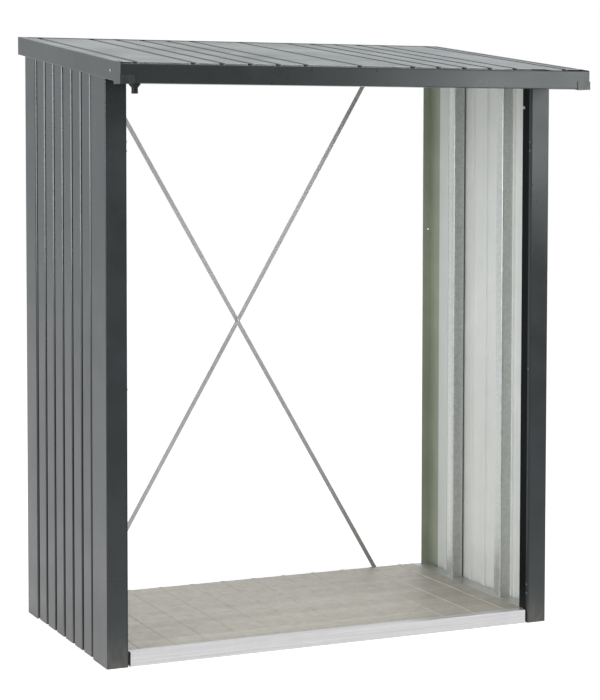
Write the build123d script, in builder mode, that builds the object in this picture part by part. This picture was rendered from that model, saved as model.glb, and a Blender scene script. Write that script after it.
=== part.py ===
import math
import os

from build123d import *

os.makedirs("parts", exist_ok=True)

# Overall sizes, in millimetres
base_width = 1520.0
base_depth = 814.0
side_overhang = 23.0
front_overhang = 204.0
front_height = 1804.0
rear_height = 1922.0

# Sheet thicknesses and bends
post_sheet = 1.5
wall_sheet = 1.0
roof_sheet = 1.0
trim_sheet = 1.2
rail_sheet = 1.5
floor_sheet = 1.2
bend_radius = 3.0
tight_radius = 1.9

# Clearances
fit_gap = 0.3
ground_gap = 3.0

# Corner posts
front_face_width = 67.0
front_return_depth = 57.0
return_lip_depth = 13.0
return_joggle = 2.0
rear_flange_width = 33.0
rear_hole_inset = 12.0
rear_hole_height = 1261.0
rear_hole_radius = 3.0

# Pressed grooves of the side walls, measured from the front and the rear of the left wall
wall_first_groove = 142.0
wall_last_groove = 120.0
wall_groove_count = 7
wall_edge_lap = 60.0

# Section of a pressed groove: an eased shoulder at its mouth, then a steep flank to its floor
groove_mouth = 22.0
groove_shoulder_width = 2.4
groove_shoulder_depth = 3.2
groove_floor = 15.0
groove_depth = 8.0

# Upright stiffeners inside the side walls, measured on the right wall
stiffener_depth = 38.0
stiffener_width = 40.0
stiffener_first = 234.0
stiffener_spacing = 335.0

# Roof sheets: the outermost grooves from the roof's sides, and the others in steps of one pitch
roof_first_groove = 63.0
roof_last_groove = 63.0
roof_groove_steps = (0, 2, 3, 4, 5, 6, 8, 10, 11, 12, 13, 14, 16)
roof_seam_step = 8
roof_seam_lip = 3.0

# Fascias and rear trim
fascia_height = 59.0
side_flange_width = 20.0
rear_flange_lap = 20.0

# Front gutter
gutter_open_width = 49.0
gutter_width = 64.0
gutter_lip_radius = 5.0
gutter_lip_width = 12.0
gutter_lip_drop = 7.0
gutter_lip_fall = 2.5

# Gutter end caps
cap_wall = 2.0
cap_front_width = 46.0
cap_side_width = 55.0
cap_height = 26.0
cap_lip = 12.0

# Drain spout
spout_side_offset = 54.0
spout_flange_radius = 17.0
spout_neck_radius = 9.5
spout_bore_radius = 7.0
spout_flange_height = 3.0
spout_funnel_height = 12.0
spout_length = 29.0
spout_collar_height = 3.0

# Rails under the roof
header_height = 52.0
header_depth = 30.0
side_rail_height = 40.0
side_rail_depth = 30.0
rear_rail_height = 80.0
rear_rail_depth = 30.0

# Base rails, sill and floor
base_rail_height = 41.0
side_base_width = 80.0
rear_base_width = 40.0
sill_height = 44.0
sill_depth = 30.0
sill_wall = 2.0
sill_setback = 2.0
sill_end_gap = 8.0
sill_ledge = 18.0
sill_rib_count = 4
sill_rib_pitch = 10.0
sill_rib_width = 5.0
sill_rib_depth = 1.0
floor_panel_count = 3
floor_bead_count = 4
floor_bead_width = 18.0
floor_bead_crest = 12.0
floor_bead_height = 1.5

# Cross brace of the rear opening
strap_width = 15.0
strap_sheet = 1.5
strap_top_inset = 232.0
strap_top_drop = 60.0
strap_bottom_inset = 214.0
strap_bottom_rise = 24.0
bolt_hole_radius = 3.15

# Ground anchor holes in the side base rails
anchor_radius = 5.5
anchor_inset = 30.0
anchor_end_distance = 90.0

# Places that follow from the sizes above
strap_stand = 2 * strap_sheet - post_sheet
half_base = base_width / 2
half_roof = half_base + side_overhang
fascia_y = -(front_overhang + base_depth + strap_stand - cap_wall) / 2
front_y = fascia_y + front_overhang
rear_y = front_y + base_depth
web_y = rear_y - post_sheet
roof_rear_y = rear_y + trim_sheet
fall = (rear_height - front_height) / (roof_rear_y - fascia_y)
slope = math.atan(fall)
slope_direction = (0, math.cos(slope), math.sin(slope))
wall_groove_run = base_depth - wall_first_groove - wall_last_groove
wall_groove_pitch = wall_groove_run / (wall_groove_count - 1)
roof_groove_pitch = (2 * half_roof - roof_first_groove - roof_last_groove) / roof_groove_steps[-1]
return_x = half_base - front_face_width
joggle_x = return_x + return_joggle
ridge_x = half_base - post_sheet - wall_sheet - groove_depth
sheet_drop = trim_sheet / math.cos(slope)
roof_drop = sheet_drop + roof_sheet + groove_depth
sheet_start = fascia_y + trim_sheet + gutter_open_width
groove_flank = (
    (0, 0),
    (groove_shoulder_width, groove_shoulder_depth),
    ((groove_mouth - groove_floor) / 2, groove_depth),
)
sill_rear_y = front_y + sill_setback + sill_depth
fascia_bottom = front_height - fascia_height


def roof_top(y):
    """Height of the roof's upper plane at the depth y."""
    return front_height + fall * (y - fascia_y)


def roof_seat(y):
    """Height of the plane that carries the floors of the roof grooves."""
    return roof_top(y) - roof_drop


def finish(builder, name):
    """Label a finished piece and write its file."""
    builder.part.label = name
    export_step(builder.part, f"parts/{name}.step")


def folded(points, sheet, side, bend=bend_radius):
    """Section of a folded sheet: its outer line, thickened inwards."""
    with BuildLine() as outline:
        FilletPolyline(*points, radius=bend)
        offset(amount=sheet, side=side)
    make_face(outline.edges())


def grooved(centres, start, end, place, sheet, side, mouth, flank):
    """Section of a sheet with pressed grooves, drawn along its outer line."""
    points = [place(start, 0)]
    for centre in centres:
        points.extend(place(centre - mouth / 2 + inset, deep) for inset, deep in flank)
        points.extend(place(centre + mouth / 2 - inset, deep) for inset, deep in reversed(flank))
    points.append(place(end, 0))
    with BuildLine() as outline:
        Polyline(*points)
        offset(amount=sheet, side=side, kind=Kind.INTERSECTION)
    make_face(outline.edges())


def sloped_plane(y):
    """Upright plane across the roof at the depth y, with its origin on the roof's upper plane."""
    return Plane(origin=(0, y, roof_top(y)), x_dir=(1, 0, 0), z_dir=(0, -1, 0))


def extrude_up_slope(start, end):
    """Extrude the pending section from one depth to another along the roof slope."""
    extrude(amount=(end - start) / math.cos(slope), dir=slope_direction)


def cut_under_roof(drop=0.0):
    """Cut a standing piece along the plane that carries the roof, or that far below it."""
    seat = Plane(
        origin=(0, front_y, roof_seat(front_y) - drop),
        x_dir=(1, 0, 0),
        z_dir=(0, -math.sin(slope), math.cos(slope)),
    )
    split(bisect_by=seat, keep=Keep.BOTTOM)


# The side walls: the right wall is the left one turned half round
for hand, name in ((-1, "left"), (1, "right")):
    first_groove = wall_first_groove if hand < 0 else wall_last_groove
    grooves = [front_y + first_groove + wall_groove_pitch * i for i in range(wall_groove_count)]
    front_leg_end = grooves[0] - groove_mouth / 2
    rear_leg_end = grooves[-1] + groove_mouth / 2
    inward_left = Side.LEFT if hand < 0 else Side.RIGHT
    inward_right = Side.RIGHT if hand < 0 else Side.LEFT

    # Front post: a leg along the wall, the front face and a joggled return behind it
    with BuildPart() as front_post:
        with BuildSketch():
            corners = [
                (hand * half_base, front_leg_end),
                (hand * half_base, front_y),
                (hand * return_x, front_y),
                (hand * return_x, front_y + return_lip_depth),
                (hand * joggle_x, front_y + return_lip_depth + return_joggle),
                (hand * joggle_x, front_y + front_return_depth),
            ]
            bends = (bend_radius, bend_radius, tight_radius, tight_radius)
            folded(corners, post_sheet, inward_left, bends)
        extrude(amount=rear_height)
        cut_under_roof()
    finish(front_post, f"{name}_front_post")

    # Rear post: a leg along the wall and a narrow flange across the back, with one fixing hole
    with BuildPart() as rear_post:
        with BuildSketch():
            corners = [
                (hand * half_base, rear_leg_end),
                (hand * half_base, rear_y),
                (hand * (half_base - rear_flange_width), rear_y),
            ]
            folded(corners, post_sheet, inward_right)
        extrude(amount=rear_height)
        cut_under_roof()
        with BuildSketch(Plane.XZ.offset(-rear_y)):
            with Locations((hand * (half_base - rear_hole_inset), rear_hole_height)):
                Circle(rear_hole_radius)
        extrude(amount=post_sheet, mode=Mode.SUBTRACT)
    finish(rear_post, f"{name}_rear_post")

    # Wall sheet with its pressed grooves, lapped behind the legs of both posts
    with BuildPart() as wall:
        with BuildSketch(Plane.XY.offset(ground_gap)):
            grooved(
                grooves,
                front_leg_end - wall_edge_lap,
                rear_leg_end + wall_edge_lap,
                lambda along, deep: (hand * (half_base - post_sheet - deep), along),
                wall_sheet,
                inward_right,
                groove_mouth,
                groove_flank,
            )
        extrude(amount=rear_height)
        cut_under_roof()
    finish(wall, f"{name}_wall_panel")

    # Upright stiffeners: open channels that stand on the ridges of the wall sheet
    first = stiffener_first if hand > 0 else base_depth - stiffener_first - stiffener_spacing
    for index, place in ((0, "front"), (1, "rear")):
        middle = front_y + first + index * stiffener_spacing
        near = middle - stiffener_width / 2
        far = middle + stiffener_width / 2
        with BuildPart() as stiffener:
            with BuildSketch(Plane.XY.offset(base_rail_height)):
                corners = [
                    (hand * ridge_x, near),
                    (hand * (ridge_x - stiffener_depth), near),
                    (hand * (ridge_x - stiffener_depth), far),
                    (hand * ridge_x, far),
                ]
                folded(corners, rail_sheet, inward_right)
            extrude(amount=rear_height)
            cut_under_roof(side_rail_height)
        finish(stiffener, f"{name}_{place}_stiffener")

    # Top rail along the wall, against the ridges of the wall sheet
    rail_start = front_y + post_sheet + fit_gap
    rail_end = web_y - rear_rail_depth - fit_gap
    with BuildPart() as top_rail:
        with BuildSketch(sloped_plane(rail_start)):
            corners = [
                (hand * (ridge_x - side_rail_depth), -roof_drop),
                (hand * ridge_x, -roof_drop),
                (hand * ridge_x, -roof_drop - side_rail_height),
                (hand * (ridge_x - side_rail_depth), -roof_drop - side_rail_height),
            ]
            folded(corners, rail_sheet, inward_left)
        extrude_up_slope(rail_start, rail_end)
    finish(top_rail, f"{name}_top_rail")

    # Base rail along the wall, with holes for two ground anchors
    base_start = front_y + front_return_depth + fit_gap
    base_end = web_y - rear_base_width - fit_gap
    with BuildPart() as base_rail:
        with BuildSketch(Plane.XZ.offset(-base_end)):
            corners = [
                (hand * (ridge_x - side_base_width), base_rail_height),
                (hand * ridge_x, base_rail_height),
                (hand * ridge_x, 0),
                (hand * (ridge_x - side_base_width), 0),
            ]
            folded(corners, rail_sheet, inward_left)
        extrude(amount=base_end - base_start)
        anchor_places = [base_start + anchor_end_distance, base_end - anchor_end_distance]
        anchor_x = hand * (ridge_x - side_base_width + anchor_inset)
        with BuildSketch():
            with Locations(*[(anchor_x, y) for y in anchor_places]):
                Circle(anchor_radius)
        extrude(amount=rail_sheet, mode=Mode.SUBTRACT)
    finish(base_rail, f"{name}_base_rail")

    # Side fascia: a lap over the roof sheet, the face and a soffit back to the wall
    with BuildPart() as side_fascia:
        fascia_start = fascia_y + trim_sheet
        with BuildSketch(sloped_plane(fascia_start)):
            corners = [
                (hand * (half_roof - side_flange_width), 0),
                (hand * half_roof, 0),
                (hand * half_roof, -fascia_height),
                (hand * (half_base + fit_gap), -fascia_height),
            ]
            folded(corners, trim_sheet, inward_left)
        extrude_up_slope(fascia_start, rear_y)
        with BuildSketch(Plane.XY.offset(fascia_bottom + fascia_height / 2)):
            with Locations((hand * (half_roof - trim_sheet), fascia_y)):
                inner = Align.MIN if hand < 0 else Align.MAX
                Rectangle(side_flange_width, sheet_start - fascia_y, align=(inner, Align.MIN))
        extrude(amount=fascia_height, mode=Mode.SUBTRACT)
        soffit_end = fascia_y + gutter_width + fit_gap
        with BuildSketch(Plane.XY.offset(fascia_bottom)):
            with Locations((hand * (half_roof - trim_sheet), fascia_y)):
                Rectangle(side_overhang, soffit_end - fascia_y, align=(inner, Align.MIN))
        extrude(amount=fascia_height / 2, mode=Mode.SUBTRACT)
        with BuildSketch(Plane.XY.offset(fascia_bottom + bend_radius)):
            with Locations((hand * half_roof, fascia_y)):
                Rectangle(side_overhang, cap_side_width, align=(inner, Align.MIN))
        extrude(amount=-cap_height, mode=Mode.SUBTRACT)
    finish(side_fascia, f"{name}_side_fascia")

    # End cap round the lower front corner of the gutter
    with BuildPart() as end_cap:
        edge = Align.MIN if hand < 0 else Align.MAX
        with Locations((hand * (half_roof + cap_wall), fascia_y - cap_wall, fascia_bottom - cap_wall)):
            Box(
                cap_front_width,
                cap_side_width,
                cap_height,
                align=(edge, Align.MIN, Align.MIN),
            )
        with Locations((hand * half_roof, fascia_y, fascia_bottom)):
            Box(
                cap_front_width,
                cap_side_width,
                cap_height,
                align=(edge, Align.MIN, Align.MIN),
                mode=Mode.SUBTRACT,
            )
        with Locations((hand * (half_roof - cap_lip), fascia_y + cap_lip, fascia_bottom - cap_wall)):
            Box(
                cap_front_width,
                cap_side_width,
                cap_height,
                align=(edge, Align.MIN, Align.MIN),
                mode=Mode.SUBTRACT,
            )
    finish(end_cap, f"{name}_gutter_end_cap")

# Front header between the returns of the front posts
header_y = front_y + post_sheet
header_half = return_x - fit_gap
with BuildPart() as front_header:
    with BuildSketch(Plane.YZ.offset(-header_half)):
        header_top = roof_seat(header_y)
        corners = [
            (header_y + header_depth, header_top + fall * header_depth),
            (header_y, header_top),
            (header_y, header_top - header_height),
            (header_y + header_depth, header_top - header_height),
        ]
        folded(corners, rail_sheet, Side.LEFT)
    extrude(amount=2 * header_half)
finish(front_header, "front_header")

# Places of the bolts that hold the cross brace
rear_rail_top = roof_seat(web_y)
strap_top_z = rear_rail_top - strap_top_drop
strap_bottom_z = strap_bottom_rise
strap_top_x = half_base - strap_top_inset
strap_bottom_x = half_base - strap_bottom_inset

# Rear top rail behind the flanges of the rear posts
with BuildPart() as rear_top_rail:
    with BuildSketch(Plane.YZ.offset(-ridge_x)):
        corners = [
            (web_y - rear_rail_depth, rear_rail_top - fall * rear_rail_depth),
            (web_y, rear_rail_top),
            (web_y, rear_rail_top - rear_rail_height),
            (web_y - rear_rail_depth, rear_rail_top - rear_rail_height),
        ]
        folded(corners, rail_sheet, Side.RIGHT)
    extrude(amount=2 * ridge_x)
    with BuildSketch(Plane.XZ.offset(-web_y)):
        with Locations((-strap_top_x, strap_top_z), (strap_top_x, strap_top_z)):
            Circle(bolt_hole_radius)
    extrude(amount=rail_sheet, mode=Mode.SUBTRACT)
finish(rear_top_rail, "rear_top_rail")

# Rear base rail, which also carries the rear edge of the floor
with BuildPart() as rear_base_rail:
    with BuildSketch(Plane.YZ.offset(-ridge_x)):
        corners = [
            (web_y - rear_base_width, base_rail_height),
            (web_y, base_rail_height),
            (web_y, 0),
            (web_y - rear_base_width, 0),
        ]
        folded(corners, rail_sheet, Side.RIGHT)
    extrude(amount=2 * ridge_x)
    with BuildSketch(Plane.XZ.offset(-web_y)):
        with Locations((-strap_bottom_x, strap_bottom_z), (strap_bottom_x, strap_bottom_z)):
            Circle(bolt_hole_radius)
    extrude(amount=rail_sheet, mode=Mode.SUBTRACT)
finish(rear_base_rail, "rear_base_rail")

# Front sill: a ribbed hollow extrusion with a ledge for the floor
sill_half = return_x - sill_end_gap
sill_front_y = front_y + sill_setback
with BuildPart() as front_sill:
    with BuildSketch(Plane.YZ.offset(-sill_half)):
        with Locations((sill_front_y, 0)):
            Rectangle(sill_depth, sill_height, align=(Align.MIN, Align.MIN))
        with Locations((sill_front_y + sill_wall, sill_wall)):
            Rectangle(
                sill_depth - 2 * sill_wall,
                sill_height - 2 * sill_wall,
                align=(Align.MIN, Align.MIN),
                mode=Mode.SUBTRACT,
            )
        with Locations((sill_rear_y, base_rail_height - sill_wall)):
            Rectangle(sill_ledge, sill_wall, align=(Align.MIN, Align.MIN))
        with Locations((sill_front_y, sill_height / 2)):
            with GridLocations(0, sill_rib_pitch, 1, sill_rib_count):
                Rectangle(sill_rib_depth, sill_rib_width, align=(Align.MAX, Align.CENTER))
    extrude(amount=2 * sill_half)
finish(front_sill, "front_sill")

# Floor panels with raised beads, from the sill to the rear base rail
floor_half = return_x - fit_gap
floor_start = sill_rear_y + fit_gap
floor_end = web_y - bend_radius - fit_gap
floor_width = 2 * floor_half / floor_panel_count
bead_pitch = floor_width / floor_bead_count
for index, place in enumerate(("left", "middle", "right")[:floor_panel_count]):
    panel_start = -floor_half + index * floor_width
    beads = [panel_start + bead_pitch * (i + 0.5) for i in range(floor_bead_count)]
    with BuildPart() as floor_panel:
        with BuildSketch(Plane.XZ.offset(-floor_end)):
            grooved(
                beads,
                panel_start,
                panel_start + floor_width - fit_gap,
                lambda along, raised: (along, base_rail_height + raised),
                floor_sheet,
                Side.LEFT,
                floor_bead_width,
                ((0, 0), ((floor_bead_width - floor_bead_crest) / 2, floor_bead_height)),
            )
        extrude(amount=floor_end - floor_start)
    finish(floor_panel, f"{place}_floor_panel")

# Roof sheets, which meet at the lip of the seam groove
first_groove_x = -half_roof + roof_first_groove
seam_x = first_groove_x + roof_groove_pitch * roof_seam_step + groove_mouth / 2 + roof_seam_lip
sheet_edge_x = half_roof - bend_radius - fit_gap
sheet_end = roof_rear_y - bend_radius - fit_gap
left_steps = [step for step in roof_groove_steps if step <= roof_seam_step]
right_steps = [step for step in roof_groove_steps if step > roof_seam_step]
roof_sides = (
    ("left", left_steps, -sheet_edge_x, seam_x - fit_gap / 2),
    ("right", right_steps, seam_x + fit_gap / 2, sheet_edge_x),
)
for place, steps, start, end in roof_sides:
    with BuildPart() as roof_panel:
        with BuildSketch(sloped_plane(sheet_start)):
            grooved(
                [first_groove_x + roof_groove_pitch * step for step in steps],
                start,
                end,
                lambda along, deep: (along, -sheet_drop - deep),
                roof_sheet,
                Side.RIGHT,
                groove_mouth,
                groove_flank,
            )
        extrude_up_slope(sheet_start, sheet_end)
    finish(roof_panel, f"{place}_roof_panel")

# Front gutter: the front fascia with a rounded, hemmed top edge, folded back into a trough
spout_x = -half_roof + spout_side_offset
spout_y = fascia_y + gutter_width / 2
with BuildPart() as gutter:
    with BuildSketch(Plane.YZ.offset(-half_roof)):
        trough_rear = fascia_y + gutter_width
        lip_top = front_height - gutter_lip_fall
        corners = [
            (fascia_y + gutter_lip_width, lip_top - gutter_lip_drop),
            (fascia_y + gutter_lip_width, lip_top),
            (fascia_y, lip_top),
            (fascia_y, fascia_bottom),
            (trough_rear, fascia_bottom),
            (trough_rear, roof_seat(trough_rear - trim_sheet)),
        ]
        bends = (tight_radius, gutter_lip_radius, tight_radius, tight_radius)
        folded(corners, trim_sheet, Side.LEFT, bends)
    extrude(amount=2 * half_roof)
    inside = Plane.XZ.offset(-fascia_y - trim_sheet)
    end_width = trim_sheet + fit_gap
    with BuildSketch(inside):
        with Locations((half_roof, fascia_bottom)):
            Rectangle(end_width, 2 * fascia_height, align=(Align.MAX, Align.CENTER))
        with Locations((-half_roof, fascia_bottom)):
            Rectangle(end_width, 2 * fascia_height, align=(Align.MIN, Align.CENTER))
    extrude(amount=-gutter_width, mode=Mode.SUBTRACT)
    with BuildSketch(Plane.XY.offset(fascia_bottom)):
        with Locations((spout_x, spout_y)):
            Circle(spout_neck_radius + fit_gap)
    extrude(amount=trim_sheet, mode=Mode.SUBTRACT)
finish(gutter, "front_gutter")

# Drain spout: a flange and funnel under the gutter, and a collar through its floor
with BuildPart() as spout:
    with BuildSketch(Plane.XZ.offset(-spout_y)):
        with BuildLine():
            Polyline(
                (spout_x + spout_bore_radius, fascia_bottom + trim_sheet + spout_collar_height),
                (spout_x + spout_neck_radius, fascia_bottom + trim_sheet + spout_collar_height),
                (spout_x + spout_neck_radius, fascia_bottom),
                (spout_x + spout_flange_radius, fascia_bottom),
                (spout_x + spout_flange_radius, fascia_bottom - spout_flange_height),
                (spout_x + spout_neck_radius, fascia_bottom - spout_funnel_height),
                (spout_x + spout_neck_radius, fascia_bottom - spout_length),
                (spout_x + spout_bore_radius, fascia_bottom - spout_length),
                close=True,
            )
        make_face()
    revolve(axis=Axis((spout_x, spout_y, 0), (0, 0, 1)))
finish(spout, "drain_spout")

# Rear trim: a plate across the back of the roof, lapped over the sheets
with BuildPart() as rear_trim:
    with BuildSketch(Plane.YZ.offset(-half_roof)):
        corners = [
            (roof_rear_y - rear_flange_lap, roof_top(roof_rear_y - rear_flange_lap)),
            (roof_rear_y, roof_top(roof_rear_y)),
            (roof_rear_y, roof_top(roof_rear_y) - fascia_height),
        ]
        folded(corners, trim_sheet, Side.RIGHT)
    extrude(amount=2 * half_roof)
    notch_width = side_flange_width + fit_gap
    with BuildSketch(Plane.XZ.offset(-rear_y)):
        with Locations((half_roof, rear_height)):
            Rectangle(notch_width, fascia_height, align=(Align.MAX, Align.CENTER))
        with Locations((-half_roof, rear_height)):
            Rectangle(notch_width, fascia_height, align=(Align.MIN, Align.CENTER))
    extrude(amount=rear_flange_lap, mode=Mode.SUBTRACT)
finish(rear_trim, "rear_roof_trim")

# Cross brace: two flat straps behind the rear opening, bolted together where they cross
strap_rise = strap_top_z - strap_bottom_z
strap_run = strap_top_x + strap_bottom_x
strap_reach = math.hypot(strap_run, strap_rise)
strap_lean = math.degrees(math.atan2(strap_rise, strap_run))
crossing = strap_reach * strap_bottom_x / strap_run
for place, start_x, angle, strap_y in (
    ("inner", -strap_bottom_x, strap_lean, web_y),
    ("outer", strap_bottom_x, 180.0 - strap_lean, web_y + strap_sheet),
):
    with BuildPart() as strap:
        with BuildSketch(Plane.XZ.offset(-strap_y)):
            with Locations(Location((start_x, strap_bottom_z, 0), (0, 0, angle))):
                with Locations((strap_reach / 2, 0)):
                    SlotCenterToCenter(strap_reach, strap_width)
                with Locations((0, 0), (crossing, 0), (strap_reach, 0)):
                    Circle(bolt_hole_radius, mode=Mode.SUBTRACT)
        extrude(amount=-strap_sheet)
    finish(strap, f"{place}_brace_strap")
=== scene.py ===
import math
import bpy
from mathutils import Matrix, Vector


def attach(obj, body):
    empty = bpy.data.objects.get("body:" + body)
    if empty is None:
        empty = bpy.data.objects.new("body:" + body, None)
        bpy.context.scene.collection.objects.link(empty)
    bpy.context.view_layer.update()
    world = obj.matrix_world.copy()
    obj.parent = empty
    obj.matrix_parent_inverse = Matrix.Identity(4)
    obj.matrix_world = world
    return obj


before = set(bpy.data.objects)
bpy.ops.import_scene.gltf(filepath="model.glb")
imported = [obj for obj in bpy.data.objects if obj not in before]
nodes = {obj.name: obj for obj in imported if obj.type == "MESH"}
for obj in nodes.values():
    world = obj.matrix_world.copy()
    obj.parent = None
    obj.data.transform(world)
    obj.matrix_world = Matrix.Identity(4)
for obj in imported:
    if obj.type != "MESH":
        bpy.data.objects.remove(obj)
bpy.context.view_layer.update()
print("frame loaded,", len(nodes), "sheet metal parts")

cameraLook = {
    "place": (-2.705, -6.003, 1.5872),
    "yaw": 24.321,
    "pitch": 3.193,
    "roll": -0.085,
    "lens": 104.39,
    "sensor": 36,
    "shift": -0.14,        # keeps the uprights near parallel, as a view camera does
    "farEnd": 60,
}

lampLook = {
    "left_softbox": {
        "place": (-3.75, -1.95, 1.85), "aim": (0.0, 0.0, 1.4), "size": (1.3, 1.9), "watts": 102},
    "right_softbox": {
        "place": (2.9, -2.6, 3.2), "aim": (0.4, -0.2, 1.2), "size": (1.3, 1.0), "watts": 72},
    "right_strip": {
        "place": (2.15, -3.05, 1.72), "aim": (0.65, -0.4, 1.65), "size": (1.15, 0.45), "watts": 17},
}

roomLook = {
    "ambient": 0.55,       # light that falls on the store from all round
    "mirrored": (0.33, 0.86),   # what glossy sheet sees of the room, from its front to its back
    "mirroredSpan": (-0.85, 0.6),
    "overhead": 0.27,      # and what the ceiling adds to that
    "overheadSpan": (0.04, 0.22),
    "mirrorTint": (0.94, 0.985, 1.0),
    "floorSize": 30,
    "floorPaint": (0.80, 0.80, 0.80),
    "floorRough": 0.9,
    "floorShine": 0.1,
    "floorLift": 0.62,
    "floorGleam": 0.66,    # the pale floor as glossy sheet sees it
    "floorFade": (0.3, -3.5, -0.2),    # how dark it seems there in front, and where it fades
}


def setCamera(look):
    bpy.ops.object.camera_add(location=look["place"])
    camera = bpy.context.object
    camera.name = "store_camera"
    camera.rotation_euler = [math.radians(a) for a in (90 - look["pitch"], look["roll"], -look["yaw"])]
    camera.data.sensor_width = look["sensor"]
    camera.data.lens = look["lens"]
    camera.data.shift_y = look["shift"]
    camera.data.clip_end = look["farEnd"]
    bpy.context.scene.camera = camera
    bpy.context.scene.view_settings.view_transform = "Standard"


def hangLamp(name, look):
    bpy.ops.object.light_add(type="AREA", location=look["place"])
    lamp = bpy.context.object
    lamp.name = name
    lamp.data.shape = "RECTANGLE"
    lamp.data.size, lamp.data.size_y = look["size"]
    lamp.data.energy = look["watts"]
    lamp.visible_camera = False
    towards = Vector(look["aim"]) - Vector(look["place"])
    lamp.rotation_euler = towards.to_track_quat("-Z", "Y").to_euler()


def addNode(tree, kind, operation=None, **values):
    node = tree.nodes.new(kind)
    if operation:
        node.operation = operation
    for label, value in values.items():
        node.inputs[label.replace("_", " ")].default_value = value
    return node


def feed(tree, socket, value):
    # a socket takes a number, a colour or another node's output
    if isinstance(value, bpy.types.NodeSocket):
        tree.links.new(value, socket)
    elif isinstance(value, tuple) and len(socket.default_value) == 4 and len(value) == 3:
        socket.default_value = (*value, 1)
    else:
        socket.default_value = value


def maths(tree, operation, first, second=0.0):
    node = addNode(tree, "ShaderNodeMath", operation)
    feed(tree, node.inputs[0], first)
    feed(tree, node.inputs[1], second)
    return node.outputs[0]


def spread(tree, value, low, high, fromLow=0.0, fromHigh=1.0):
    node = addNode(tree, "ShaderNodeMapRange", From_Min=fromLow, From_Max=fromHigh, To_Min=low, To_Max=high)
    feed(tree, node.inputs["Value"], value)
    return node.outputs["Result"]


def blendColours(tree, amount, first, second):
    node = tree.nodes.new("ShaderNodeMix")
    node.data_type = "RGBA"
    feed(tree, node.inputs[0], amount)
    feed(tree, node.inputs[6], first)
    feed(tree, node.inputs[7], second)
    return node.outputs[2]


def blendValues(tree, amount, first, second):
    node = tree.nodes.new("ShaderNodeMix")
    feed(tree, node.inputs[0], amount)
    feed(tree, node.inputs[2], first)
    feed(tree, node.inputs[3], second)
    return node.outputs[0]


def stretched(tree, vector, scale):
    node = addNode(tree, "ShaderNodeMapping", Scale=scale)
    feed(tree, node.inputs["Vector"], vector)
    return node.outputs["Vector"]


def noise(tree, vector, scale, detail=3.0, roughness=0.55):
    node = addNode(tree, "ShaderNodeTexNoise", Detail=detail, Roughness=roughness)
    feed(tree, node.inputs["Vector"], vector)
    feed(tree, node.inputs["Scale"], scale)
    return node.outputs["Fac"]


def seenByEye(tree):
    # camera, glossy and see-through rays get the white room
    path = tree.nodes.new("ShaderNodeLightPath")
    first = maths(tree, "MAXIMUM", path.outputs["Is Camera Ray"], path.outputs["Is Glossy Ray"])
    return path, maths(tree, "MAXIMUM", first, path.outputs["Is Transmission Ray"])


def paintRoom(look):
    world = bpy.data.worlds.new("pale_room")
    bpy.context.scene.world = world
    world.use_nodes = True
    tree = world.node_tree
    path, eye = seenByEye(tree)
    towards = tree.nodes.new("ShaderNodeSeparateXYZ")
    feed(tree, towards.inputs[0], tree.nodes.new("ShaderNodeTexCoord").outputs["Generated"])
    depth = spread(tree, towards.outputs["Y"], *look["mirrored"], *look["mirroredSpan"])
    ceiling = spread(tree, towards.outputs["Z"], 0.0, look["overhead"], *look["overheadSpan"])
    mirrored = maths(tree, "ADD", depth, ceiling)
    level = blendValues(tree, eye, look["ambient"], mirrored)
    background = tree.nodes["Background"]
    tint = blendColours(tree, path.outputs["Is Glossy Ray"], (1.0, 1.0, 1.0), look["mirrorTint"])
    feed(tree, background.inputs["Color"], tint)
    # white to the camera itself
    white = path.outputs["Is Camera Ray"]
    feed(tree, background.inputs["Strength"], blendValues(tree, white, level, 1.0))


def layFloor(look):
    bpy.ops.object.select_all(action="DESELECT")
    bpy.ops.mesh.primitive_plane_add(size=look["floorSize"], location=(0, 0, 0))
    floor = bpy.context.object
    floor.name = "studio_floor"
    material = bpy.data.materials.new("pale_floor")
    material.use_nodes = True
    tree = material.node_tree
    shader = tree.nodes["Principled BSDF"]
    shader.inputs["Roughness"].default_value = look["floorRough"]
    shader.inputs["Specular IOR Level"].default_value = look["floorShine"]
    shader.inputs["Emission Color"].default_value = (1, 1, 1, 1)
    path, eye = seenByEye(tree)
    where = tree.nodes.new("ShaderNodeSeparateXYZ")
    feed(tree, where.inputs[0], tree.nodes.new("ShaderNodeTexCoord").outputs["Object"])
    dim, start, end = look["floorFade"]
    seen = spread(tree, where.outputs["Y"], dim, 1.0, start, end)
    glossy = path.outputs["Is Glossy Ray"]
    shade = blendValues(tree, glossy, 1.0, seen)
    feed(tree, shader.inputs["Base Color"], blendColours(tree, shade, (0.0, 0.0, 0.0), look["floorPaint"]))
    lift = blendValues(tree, glossy, look["floorLift"], maths(tree, "MULTIPLY", seen, look["floorGleam"]))
    feed(tree, shader.inputs["Emission Strength"], maths(tree, "MULTIPLY", eye, lift))
    floor.data.materials.append(material)


setCamera(cameraLook)
for lampName, lampSettings in lampLook.items():
    hangLamp(lampName, lampSettings)
paintRoom(roomLook)
layFloor(roomLook)
print("camera, lamps and floor are up")


def startGroup(name, takes, gives):
    group = bpy.data.node_groups.new(name, "ShaderNodeTree")
    for label, kind, value in takes:
        socket = group.interface.new_socket(name=label, in_out="INPUT", socket_type="NodeSocket" + kind)
        if value is not None:
            socket.default_value = value
    for label, kind in gives:
        group.interface.new_socket(name=label, in_out="OUTPUT", socket_type="NodeSocket" + kind)
    return group, group.nodes.new("NodeGroupInput").outputs, group.nodes.new("NodeGroupOutput").inputs


def useGroup(tree, group, **values):
    node = tree.nodes.new("ShaderNodeGroup")
    node.node_tree = group
    for label, value in values.items():
        feed(tree, node.inputs[label.replace("_", " ")], value)
    return node.outputs


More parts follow.
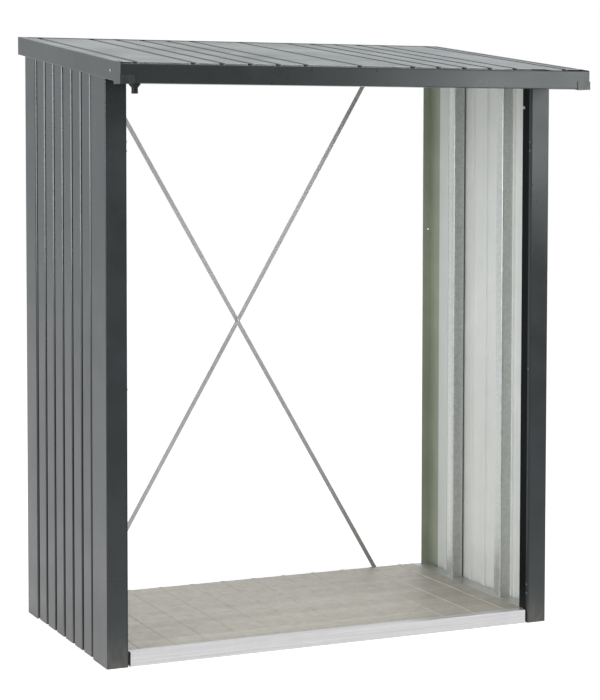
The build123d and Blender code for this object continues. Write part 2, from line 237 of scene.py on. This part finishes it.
def buildSheetRipple():
    # the slow waviness of thin rolled sheet, which bends what it mirrors
    group, given, out = startGroup(
        "sheet_ripple",
        [("Place", "Vector", None), ("Size", "Float", 2.6)],
        [("Height", "Float"), ("Shade", "Float")])
    broad = noise(group, given["Place"], given["Size"], 1.5, 0.45)
    cloudy = noise(group, given["Place"], 9.0, 4.0)
    feed(group, out["Height"], broad)
    feed(group, out["Shade"], spread(group, maths(group, "MULTIPLY", broad, cloudy), 0.0, 1.0, 0.12, 0.42))
    return group


def buildPaintGrain():
    # fine metal flake in the paint, and the skin it dries to
    group, given, out = startGroup(
        "paint_grain",
        [("Place", "Vector", None), ("Flake Size", "Float", 420.0), ("Skin Size", "Float", 420.0)],
        [("Flake", "Float"), ("Skin", "Float")])
    flake = addNode(group, "ShaderNodeTexVoronoi")
    feed(group, flake.inputs["Vector"], given["Place"])
    feed(group, flake.inputs["Scale"], given["Flake Size"])
    grey = group.nodes.new("ShaderNodeSeparateColor")
    group.links.new(flake.outputs["Color"], grey.inputs["Color"])
    feed(group, out["Flake"], grey.outputs["Red"])
    feed(group, out["Skin"], noise(group, given["Place"], given["Skin Size"], 2.0))
    return group


def buildZincSpangle():
    # the crystal patches of a galvanised coat
    group, given, out = startGroup(
        "zinc_spangle",
        [("Place", "Vector", None), ("Patches", "Float", 130.0)],
        [("Shade", "Float"), ("Edge", "Float")])
    wobble = addNode(group, "ShaderNodeTexNoise", Scale=60.0, Detail=2.0)
    feed(group, wobble.inputs["Vector"], given["Place"])
    moved = addNode(group, "ShaderNodeVectorMath", "MULTIPLY_ADD")
    feed(group, moved.inputs[0], wobble.outputs["Color"])
    moved.inputs[1].default_value = (0.008, 0.008, 0.008)
    feed(group, moved.inputs[2], given["Place"])
    cells = addNode(group, "ShaderNodeTexVoronoi")
    feed(group, cells.inputs["Vector"], moved.outputs[0])
    feed(group, cells.inputs["Scale"], given["Patches"])
    grey = group.nodes.new("ShaderNodeSeparateColor")
    group.links.new(cells.outputs["Color"], grey.inputs["Color"])
    feed(group, out["Shade"], grey.outputs["Green"])
    feed(group, out["Edge"], spread(group, cells.outputs["Distance"], 0.0, 1.0, 0.25, 0.75))
    return group


def buildRollLines():
    # faint lines left by the rollers, drawn out by the stretch the material gives
    group, given, out = startGroup(
        "roll_lines",
        [("Place", "Vector", None), ("Stretch", "Vector", (1.0, 1.0, 1.0))],
        [("Line", "Float"), ("Band", "Float")])
    along = group.nodes.new("ShaderNodeVectorMath")
    along.operation = "MULTIPLY"
    feed(group, along.inputs[0], given["Place"])
    feed(group, along.inputs[1], given["Stretch"])
    feed(group, out["Line"], noise(group, along.outputs[0], 1.0, 3.0))
    feed(group, out["Band"], noise(group, along.outputs[0], 0.17, 2.0))
    return group


def buildYardDust():
    # dry dust thrown up from the ground, thickest at the foot and broken by noise
    group, given, out = startGroup(
        "yard_dust",
        [("Place", "Vector", None), ("Reach", "Float", 0.16)],
        [("Dust", "Float")])
    parts = group.nodes.new("ShaderNodeSeparateXYZ")
    feed(group, parts.inputs[0], given["Place"])
    falling = maths(group, "SUBTRACT", 1.0, maths(group, "DIVIDE", parts.outputs["Z"], given["Reach"]))
    falling = spread(group, falling, 0.0, 1.0)
    speckle = noise(group, stretched(group, given["Place"], (1, 1, 0.35)), 55.0, 5.0, 0.65)
    streak = noise(group, stretched(group, given["Place"], (1, 1, 0.08)), 24.0, 3.0)
    speckled = spread(group, speckle, 0.2, 1.0, 0.3, 0.7)
    streaked = spread(group, streak, 0.4, 1.0, 0.35, 0.65)
    mixed = maths(group, "MULTIPLY", maths(group, "MULTIPLY", falling, falling), speckled)
    feed(group, out["Dust"], maths(group, "MULTIPLY", mixed, streaked))
    return group


def buildCoatSide():
    # 1 on the painted face of a folded sheet and 0 on its pale lining: the painted
    # face looks away from the line the sheet is folded round, the same left and right
    group, given, out = startGroup(
        "coat_side",
        [("Fold Line", "Vector", (0.0, 0.0, 0.0)), ("Heed", "Vector", (1.0, 0.0, 0.0))],
        [("Coat", "Float")])
    spot = group.nodes.new("ShaderNodeNewGeometry")
    where = group.nodes.new("ShaderNodeSeparateXYZ")
    facing = group.nodes.new("ShaderNodeSeparateXYZ")
    group.links.new(spot.outputs["Position"], where.inputs[0])
    group.links.new(spot.outputs["True Normal"], facing.inputs[0])
    half = maths(group, "SIGN", where.outputs["X"])
    folded = group.nodes.new("ShaderNodeCombineXYZ")
    feed(group, folded.inputs[0], maths(group, "ABSOLUTE", where.outputs["X"]))
    feed(group, folded.inputs[1], where.outputs["Y"])
    feed(group, folded.inputs[2], where.outputs["Z"])
    turned = group.nodes.new("ShaderNodeCombineXYZ")
    feed(group, turned.inputs[0], maths(group, "MULTIPLY", half, facing.outputs["X"]))
    feed(group, turned.inputs[1], facing.outputs["Y"])
    feed(group, turned.inputs[2], facing.outputs["Z"])
    away = group.nodes.new("ShaderNodeVectorMath")
    away.operation = "SUBTRACT"
    feed(group, away.inputs[0], folded.outputs[0])
    feed(group, away.inputs[1], given["Fold Line"])
    heeded = group.nodes.new("ShaderNodeVectorMath")
    heeded.operation = "MULTIPLY"
    feed(group, heeded.inputs[0], away.outputs[0])
    feed(group, heeded.inputs[1], given["Heed"])
    dot = group.nodes.new("ShaderNodeVectorMath")
    dot.operation = "DOT_PRODUCT"
    feed(group, dot.inputs[0], heeded.outputs[0])
    feed(group, dot.inputs[1], turned.outputs[0])
    feed(group, out["Coat"], maths(group, "GREATER_THAN", dot.outputs["Value"], 0.0))
    return group


sheetRipple = buildSheetRipple()
paintGrain = buildPaintGrain()
zincSpangle = buildZincSpangle()
rollLines = buildRollLines()
yardDust = buildYardDust()
coatSide = buildCoatSide()
print("shared effects are built")


def startMaterial(name):
    material = bpy.data.materials.new(name)
    material.use_nodes = True
    tree = material.node_tree
    place = tree.nodes.new("ShaderNodeTexCoord").outputs["Object"]
    return material, tree, tree.nodes["Principled BSDF"], place


def bump(tree, shader, height, strength, distance):
    node = addNode(tree, "ShaderNodeBump", Strength=strength, Distance=distance)
    feed(tree, node.inputs["Height"], height)
    tree.links.new(node.outputs["Normal"], shader.inputs["Normal"])


yardDustColour = (0.36, 0.33, 0.28)

paintedSheetLook = {
    "coat": (0.016, 0.019, 0.020),
    "coatPale": (0.024, 0.028, 0.030),
    "lining": (0.66, 0.68, 0.655),
    "liningPale": (0.74, 0.755, 0.735),
    "shadedLining": (0.31, 0.345, 0.26),     # inside of the rear posts: the pale lining made darker and olive, as painted shade and a painted olive reflection
    "shadedLiningPale": (0.39, 0.425, 0.33),
    # both are painted shade: near-black, metallic and rougher than the coat, so that they look as dark as they
    # should from the front left;
    # square on, the grooves then stand out as stripes
    "paintedShadeReturn": {
        "colour": (0.010, 0.011, 0.012), "gloss": 0.75, "halfWidth": 0.698,
        "lip": -0.291, "lipBlur": 0.002, "lipAmount": 0.35},
    "paintedShadeGroove": {"colour": (0.010, 0.011, 0.012), "gloss": 0.65, "halfWidth": 0.7553},
    "flake": (0.16, 0.17, 0.175),
    "flakeAmount": 0.012,
    "dust": yardDustColour,
    "coatGloss": (0.26, 0.36),
    "liningGloss": (0.38, 0.50),
    "dustAmount": 0.35,
    "coatSpecular": 0.5,
    "coatTint": (0.93, 0.985, 1.0),
    "foldLine": {
        "wall_paint": ((0, 0, 0), (1, 0, 0)),
        "roof_paint": ((0, 0, 0), (0, 0, 1)),
        "front_post_paint": ((0.726, -0.262, 0), (1, 1, 0)),
        "rear_post_paint": ((0.700, 0.450, 0), (1, 1, 0)),
    },
}


def makePaintedSheet(name, look):
    material, tree, shader, place = startMaterial(name)
    side = 1.0     # the folded trims are painted on both faces
    if name in look["foldLine"]:
        line, heed = look["foldLine"][name]
        side = useGroup(tree, coatSide, Fold_Line=line, Heed=heed)["Coat"]
    ripple = useGroup(tree, sheetRipple, Place=place)
    grain = useGroup(tree, paintGrain, Place=place)
    dust = maths(tree, "MULTIPLY", useGroup(tree, yardDust, Place=place)["Dust"], look["dustAmount"])
    coat = blendColours(tree, ripple["Shade"], look["coat"], look["coatPale"])
    flakes = spread(tree, grain["Flake"], 0.0, look["flakeAmount"], 0.4, 1.0)
    coat = blendColours(tree, flakes, coat, look["flake"])
    # the rear posts take the lining with painted shade and a painted olive reflection
    inside = ("shadedLining", "shadedLiningPale") if name == "rear_post_paint" else ("lining", "liningPale")
    lining = blendColours(tree, ripple["Shade"], look[inside[0]], look[inside[1]])
    colour = blendColours(tree, side, lining, coat)
    gloss = spread(tree, ripple["Shade"], *look["coatGloss"])
    matt = spread(tree, ripple["Shade"], *look["liningGloss"])
    rough = maths(tree, "ADD", blendValues(tree, side, matt, gloss), maths(tree, "MULTIPLY", dust, 0.6))
    if name in ("front_post_paint", "wall_paint"):
        # painted shade: the return beside the bay, more so behind its lip, and the depth of a groove are made
        # near-black, metallic and rougher, so that they read dark
        fold = look["paintedShadeReturn" if name == "front_post_paint" else "paintedShadeGroove"]
        where = tree.nodes.new("ShaderNodeSeparateXYZ")
        feed(tree, where.inputs[0], place)
        fromMiddle = maths(tree, "ABSOLUTE", where.outputs["X"])
        inner = maths(tree, "LESS_THAN", fromMiddle, fold["halfWidth"])
        behind = side
        if "lip" in fold:
            start, end = fold["lip"] - fold["lipBlur"], fold["lip"] + fold["lipBlur"]
            behind = spread(tree, where.outputs["Y"], fold["lipAmount"], 1.0, start, end)
        # 1 where the painted shade goes
        darker = maths(tree, "MULTIPLY", inner, behind)
        colour = blendColours(tree, darker, colour, fold["colour"])
        rough = blendValues(tree, darker, rough, fold["gloss"])
        feed(tree, shader.inputs["Metallic"], darker)
    feed(tree, shader.inputs["Base Color"], blendColours(tree, dust, colour, look["dust"]))
    feed(tree, shader.inputs["Roughness"], rough)
    shader.inputs["Specular IOR Level"].default_value = look["coatSpecular"]
    shader.inputs["Specular Tint"].default_value = (*look["coatTint"], 1)
    height = maths(tree, "ADD", ripple["Height"], maths(tree, "MULTIPLY", grain["Skin"], 0.006))
    bump(tree, shader, height, 0.3, 0.004)
    return material


zincLook = {
    "zinc_rail": {
        "darker": (0.46, 0.475, 0.46), "bright": (0.68, 0.695, 0.68), "gloss": (0.30, 0.48),
        "metal": 0.85, "stretch": (260, 260, 2.5), "dust": 0.15},
    "zinc_floor": {
        "darker": (0.42, 0.38, 0.33), "bright": (0.60, 0.56, 0.50), "gloss": (0.34, 0.52),
        "metal": 0.75, "stretch": (2.5, 200, 200), "dust": 0.5},
    "zinc_strap": {
        "darker": (0.48, 0.49, 0.48), "bright": (0.60, 0.61, 0.60), "gloss": (0.34, 0.42),
        "metal": 0.6, "stretch": (30, 30, 30), "dust": 0.1},
}


def makeZinc(name, look):
    material, tree, shader, place = startMaterial(name)
    spangle = useGroup(tree, zincSpangle, Place=place)
    lines = useGroup(tree, rollLines, Place=place, Stretch=look["stretch"])
    dust = maths(tree, "MULTIPLY", useGroup(tree, yardDust, Place=place)["Dust"], look["dust"])
    patch = blendValues(tree, 0.45, spangle["Shade"], spread(tree, lines["Band"], 0.0, 1.0, 0.3, 0.7))
    colour = blendColours(tree, patch, look["darker"], look["bright"])
    colour = blendColours(tree, maths(tree, "MULTIPLY", lines["Line"], 0.25), colour, look["darker"])
    feed(tree, shader.inputs["Base Color"], blendColours(tree, dust, colour, yardDustColour))
    rough = spread(tree, spangle["Shade"], *look["gloss"])
    feed(tree, shader.inputs["Roughness"], maths(tree, "ADD", rough, dust))
    shader.inputs["Metallic"].default_value = look["metal"]
    edges = maths(tree, "MULTIPLY", spangle["Edge"], 0.3)
    height = maths(tree, "ADD", edges, maths(tree, "MULTIPLY", lines["Line"], 0.5))
    bump(tree, shader, height, 0.12, 0.0006)
    return material


sillLook = {
    "base": (0.62, 0.61, 0.62), "darker": (0.47, 0.46, 0.47), "gloss": (0.30, 0.44), "metal": 0.7,
    "stretch": (3, 420, 420), "dust": (0.5, 0.46, 0.4), "dustReach": 0.03, "dustAmount": 0.3,
}


def makeSillMetal(look):
    material, tree, shader, place = startMaterial("mill_aluminium")
    lines = useGroup(tree, rollLines, Place=place, Stretch=look["stretch"])
    cloudy = noise(tree, place, 14.0, 4.0)
    dust = useGroup(tree, yardDust, Place=place, Reach=look["dustReach"])["Dust"]
    dust = maths(tree, "MULTIPLY", dust, look["dustAmount"])
    colour = blendColours(tree, spread(tree, lines["Line"], 0.0, 0.8, 0.35, 0.75), look["base"], look["darker"])
    colour = blendColours(tree, spread(tree, cloudy, 0.0, 0.3, 0.45, 0.8), colour, look["darker"])
    feed(tree, shader.inputs["Base Color"], blendColours(tree, dust, colour, look["dust"]))
    feed(tree, shader.inputs["Roughness"], spread(tree, lines["Band"], *look["gloss"], 0.3, 0.7))
    shader.inputs["Metallic"].default_value = look["metal"]
    bump(tree, shader, lines["Line"], 0.18, 0.0004)
    return material


plasticLook = {
    "cap_plastic": {
        "base": (0.020, 0.023, 0.025), "worn": (0.034, 0.038, 0.040), "gloss": (0.26, 0.38), "shine": 0.5},
    "spout_plastic": {
        "base": (0.008, 0.008, 0.009), "worn": (0.016, 0.016, 0.017), "gloss": (0.45, 0.6), "shine": 0.22},
}


def makePlastic(name, look):
    material, tree, shader, place = startMaterial(name)
    grain = useGroup(tree, paintGrain, Place=place, Skin_Size=900.0)
    cloudy = noise(tree, place, 35.0, 4.0)
    wear = spread(tree, cloudy, 0.0, 1.0, 0.45, 0.75)
    feed(tree, shader.inputs["Base Color"], blendColours(tree, wear, look["base"], look["worn"]))
    feed(tree, shader.inputs["Roughness"], spread(tree, cloudy, *look["gloss"], 0.3, 0.7))
    shader.inputs["Specular IOR Level"].default_value = look["shine"]
    bump(tree, shader, grain["Skin"], 0.1, 0.0003)
    return material


screwLook = {
    "screw_steel": {
        "base": (0.62, 0.62, 0.60), "darker": (0.42, 0.41, 0.38), "gloss": (0.22, 0.4), "metal": 1.0},
    "bolt_steel": {
        "base": (0.66, 0.65, 0.60), "darker": (0.46, 0.44, 0.38), "gloss": (0.25, 0.45), "metal": 1.0},
    "screw_dull": {
        "base": (0.20, 0.20, 0.20), "darker": (0.11, 0.11, 0.11), "gloss": (0.35, 0.5), "metal": 0.6},
    "screw_black": {
        "base": (0.010, 0.011, 0.012), "darker": (0.018, 0.019, 0.020), "gloss": (0.3, 0.45), "metal": 0.0},
}


def makeSteel(name, look):
    material, tree, shader, place = startMaterial(name)
    cloudy = noise(tree, place, 260.0, 4.0)
    fine = noise(tree, place, 1500.0, 2.0)
    wear = spread(tree, cloudy, 0.0, 1.0, 0.4, 0.7)
    feed(tree, shader.inputs["Base Color"], blendColours(tree, wear, look["base"], look["darker"]))
    feed(tree, shader.inputs["Roughness"], spread(tree, cloudy, *look["gloss"], 0.3, 0.7))
    shader.inputs["Metallic"].default_value = look["metal"]
    bump(tree, shader, fine, 0.2, 0.0002)
    return material


paintNames = (*paintedSheetLook["foldLine"], "trim_paint")
finishes = {name: makePaintedSheet(name, paintedSheetLook) for name in paintNames}
finishes.update({name: makeZinc(name, look) for name, look in zincLook.items()})
finishes.update({name: makeSteel(name, look) for name, look in screwLook.items()})
finishes["mill_aluminium"] = makeSillMetal(sillLook)
finishes.update({name: makePlastic(name, look) for name, look in plasticLook.items()})

finishOfPart = {
    "wall_paint": ["left_wall_panel", "right_wall_panel"],
    "roof_paint": ["left_roof_panel", "right_roof_panel"],
    "front_post_paint": ["left_front_post", "right_front_post"],
    "rear_post_paint": ["left_rear_post", "right_rear_post"],
    "trim_paint": ["left_side_fascia", "right_side_fascia", "front_gutter", "rear_roof_trim"],
    "zinc_rail": [
        "left_front_stiffener", "right_front_stiffener", "left_rear_stiffener", "right_rear_stiffener",
        "left_top_rail", "right_top_rail", "left_base_rail", "right_base_rail",
        "front_header", "rear_top_rail", "rear_base_rail"],
    "zinc_floor": ["left_floor_panel", "middle_floor_panel", "right_floor_panel"],
    "zinc_strap": ["inner_brace_strap", "outer_brace_strap"],
    "mill_aluminium": ["front_sill"],
    "cap_plastic": ["left_gutter_end_cap", "right_gutter_end_cap"],
    "spout_plastic": ["drain_spout"],
}

for finish, parts in finishOfPart.items():
    for part in parts:
        mesh = nodes[part].data
        if not mesh.materials:
            mesh.materials.append(finishes[finish])
        for number in range(len(mesh.materials)):
            mesh.materials[number] = finishes[finish]
print("finishes are on", sum(len(parts) for parts in finishOfPart.values()), "parts")


def chooseFaces(piece, wanted):
    # leaves the piece in edit mode with only the wanted faces selected
    bpy.ops.object.mode_set(mode="EDIT")
    bpy.ops.mesh.select_mode(type="FACE")
    bpy.ops.mesh.select_all(action="DESELECT")
    bpy.ops.object.mode_set(mode="OBJECT")
    for face in piece.data.polygons:
        face.select = wanted(face)
    bpy.ops.object.mode_set(mode="EDIT")


squareOn = 0.9         # how nearly a face must look up or down to count as a top or a foot

screwShape = {
    "flangeSides": 20,
    "flangeRound": 0.4,    # these three are shares of the flange's height or of the rim
    "headSunk": 0.2,
    "dishStep": 0.3,
    "rounds": 2,
    "smoothAngle": 35,
    "topSlack": 1e-5,
}


def modelScrew(name, look):
    # stands on z = 0 with its shank below
    bpy.ops.object.select_all(action="DESELECT")
    flange = look["flangeHeight"]
    bpy.ops.mesh.primitive_cylinder_add(
        vertices=screwShape["flangeSides"], radius=look["flangeRadius"], depth=flange,
        location=(0, 0, flange / 2))
    washer = bpy.context.object
    bpy.ops.object.transform_apply(location=True, rotation=True, scale=True)
    chooseFaces(washer, lambda face: face.normal.z > squareOn)
    bpy.ops.mesh.bevel(offset=flange * screwShape["flangeRound"], segments=screwShape["rounds"], affect="EDGES")
    chooseFaces(washer, lambda face: face.normal.z < -squareOn)
    bpy.ops.mesh.inset(thickness=look["flangeRadius"] - look["shankRadius"], depth=0)
    bpy.ops.mesh.extrude_region_move(TRANSFORM_OT_translate={"value": (0, 0, -look["shankLength"])})
    bpy.ops.object.mode_set(mode="OBJECT")
    bpy.ops.object.select_all(action="DESELECT")
    sunk = screwShape["headSunk"]
    tall = look["headHeight"] + flange * sunk     # its foot is sunk in the flange
    bpy.ops.mesh.primitive_cylinder_add(
        vertices=look["headSides"], radius=look["headRadius"], depth=tall,
        location=(0, 0, flange * (1 - sunk) + tall / 2))
    head = bpy.context.object
    bpy.ops.object.transform_apply(location=True, rotation=True, scale=True)
    chooseFaces(head, lambda face: face.normal.z > squareOn)
    bpy.ops.mesh.bevel(offset=look["chamfer"], segments=screwShape["rounds"], affect="EDGES")
    top = flange + look["headHeight"] - screwShape["topSlack"]
    chooseFaces(head, lambda face: face.normal.z > squareOn and face.center.z > top)
    bpy.ops.mesh.inset(thickness=look["rim"], depth=0)
    bpy.ops.mesh.inset(thickness=look["rim"] * screwShape["dishStep"], depth=-look["dish"])
    bpy.ops.object.mode_set(mode="OBJECT")
    washer.select_set(True)
    bpy.ops.object.join()
    head.name = name
    bpy.ops.object.shade_smooth_by_angle(angle=math.radians(screwShape["smoothAngle"]))
    head.data.materials.append(finishes[look["finish"]])
    return head


def placeCopies(pattern, name, places):
    # one copy for each place and turn, and the pattern itself goes
    for number, (place, turn) in enumerate(places, 1):
        bpy.ops.object.select_all(action="DESELECT")
        pattern.select_set(True)
        bpy.context.view_layer.objects.active = pattern
        bpy.ops.object.duplicate()
        piece = bpy.context.object
        piece.name = name + "_" + str(number)
        piece.location = place
        piece.rotation_euler = turn
        bpy.ops.object.transform_apply(location=True, rotation=True, scale=True)
        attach(piece, "root")
    bpy.ops.object.select_all(action="DESELECT")
    pattern.select_set(True)
    bpy.ops.object.delete()
    print(name, "placed", len(places), "times")


def driveScrews(name, look):
    places = [(place, Vector(outward).to_track_quat("Z", "Y").to_euler()) for place, outward in look["spots"]]
    placeCopies(modelScrew(name, look), name, places)


roofGrooves = (-0.72, -0.54, -0.45, -0.36, -0.27, -0.18, 0.0, 0.18, 0.27, 0.36, 0.45, 0.54, 0.72)
roofNormal = (0, -0.115, 0.9934)
roofRows = ((-0.4495, 1.80165), (0.4775, 1.90899))     # y and z of the front and the rear row
bothSides = (-1, 1)

roofScrew = {
    "finish": "screw_black", "slot": "dark_paint",
    "flangeRadius": 0.0072, "flangeHeight": 0.0022, "shankRadius": 0.0022, "shankLength": 0.006,
    "headSides": 6, "headRadius": 0.0062, "headHeight": 0.0050,
    "chamfer": 0.0006, "rim": 0.0011, "dish": 0.0004,
    "spots": [((x, y, z), roofNormal) for y, z in roofRows for x in roofGrooves],
}

returnScrew = {
    "finish": "screw_dull", "slot": "galvanised",
    "flangeRadius": 0.0038, "flangeHeight": 0.0007, "shankRadius": 0.0018, "shankLength": 0.006,
    "headSides": 6, "headRadius": 0.0030, "headHeight": 0.0016,
    "chamfer": 0.0003, "rim": 0.0007, "dish": 0.0003,
    "spots": [((side * 0.693, -0.298, z), (-side, 0, 0)) for side in bothSides
              for z in (1.5774, 1.5496, 0.8385, 0.1267, 0.0982)],
}

postBolt = {
    "finish": "bolt_steel", "slot": "galvanised",
    "flangeRadius": 0.0055, "flangeHeight": 0.001, "shankRadius": 0.003, "shankLength": 0.010,
    "headSides": 6, "headRadius": 0.0046, "headHeight": 0.003,
    "chamfer": 0.0005, "rim": 0.001, "dish": 0.0004,
    "spots": [((side * 0.695, -0.2570, 1.6895), (-side, 0, 0)) for side in bothSides],
}

fasciaScrew = {
    "finish": "screw_steel", "slot": "galvanised",
    "flangeRadius": 0.0042, "flangeHeight": 0.0006, "shankRadius": 0.0018, "shankLength": 0.008,
    "headSides": 20, "headRadius": 0.0033, "headHeight": 0.0012,
    "chamfer": 0.0006, "rim": 0.0008, "dish": 0.0005,
    "spots": [((side * 0.783, -0.4206, 1.7841), (side, 0, 0)) for side in bothSides],
}

strapBolt = {
    "finish": "bolt_steel", "slot": "galvanised",
    "flangeRadius": 0.0062, "flangeHeight": 0.0012, "shankRadius": 0.003, "shankLength": 0.003,
    "headSides": 6, "headRadius": 0.0052, "headHeight": 0.0038,
    "chamfer": 0.0006, "rim": 0.0011, "dish": 0.0004,
    "spots": [((0.528, 0.50625, 1.8515), (0, -1, 0)), ((-0.546, 0.50625, 0.024), (0, -1, 0)),
              ((0.0, 0.50775, 0.95305), (0, -1, 0))],
}

longStrapBolt = {**strapBolt, "shankLength": 0.0045, "spots": [
    ((-0.528, 0.50625, 1.8515), (0, -1, 0)), ((0.546, 0.50625, 0.024), (0, -1, 0))]}

driveScrews("roof_screw", roofScrew)
driveScrews("return_screw", returnScrew)
driveScrews("post_bolt", postBolt)
driveScrews("fascia_screw", fasciaScrew)
driveScrews("strap_bolt", strapBolt)
driveScrews("long_strap_bolt", longStrapBolt)


# rings that keep the outer strap level where the rail is a strap's thickness away
strapRing = {
    "finish": "bolt_steel", "slot": "galvanised",
    "sides": 24, "radius": 0.0062, "hole": 0.00315, "thickness": 0.0015,
    "places": ((-0.528, 0.50850, 1.8515), (0.546, 0.50850, 0.024)),
}


def modelRing(look):
    bpy.ops.object.select_all(action="DESELECT")
    bpy.ops.mesh.primitive_cylinder_add(
        vertices=look["sides"], radius=look["radius"], depth=look["thickness"])
    ring = bpy.context.object
    chooseFaces(ring, lambda face: abs(face.normal.z) > squareOn)
    bpy.ops.mesh.inset(thickness=look["radius"] - look["hole"], depth=0)
    bpy.ops.mesh.bridge_edge_loops()
    bpy.ops.object.mode_set(mode="OBJECT")
    ring.data.materials.append(finishes[look["finish"]])
    return ring


towardsBack = (math.radians(90), 0, 0)
ringPlaces = [(place, towardsBack) for place in strapRing["places"]]
placeCopies(modelRing(strapRing), "strap_ring", ringPlaces)
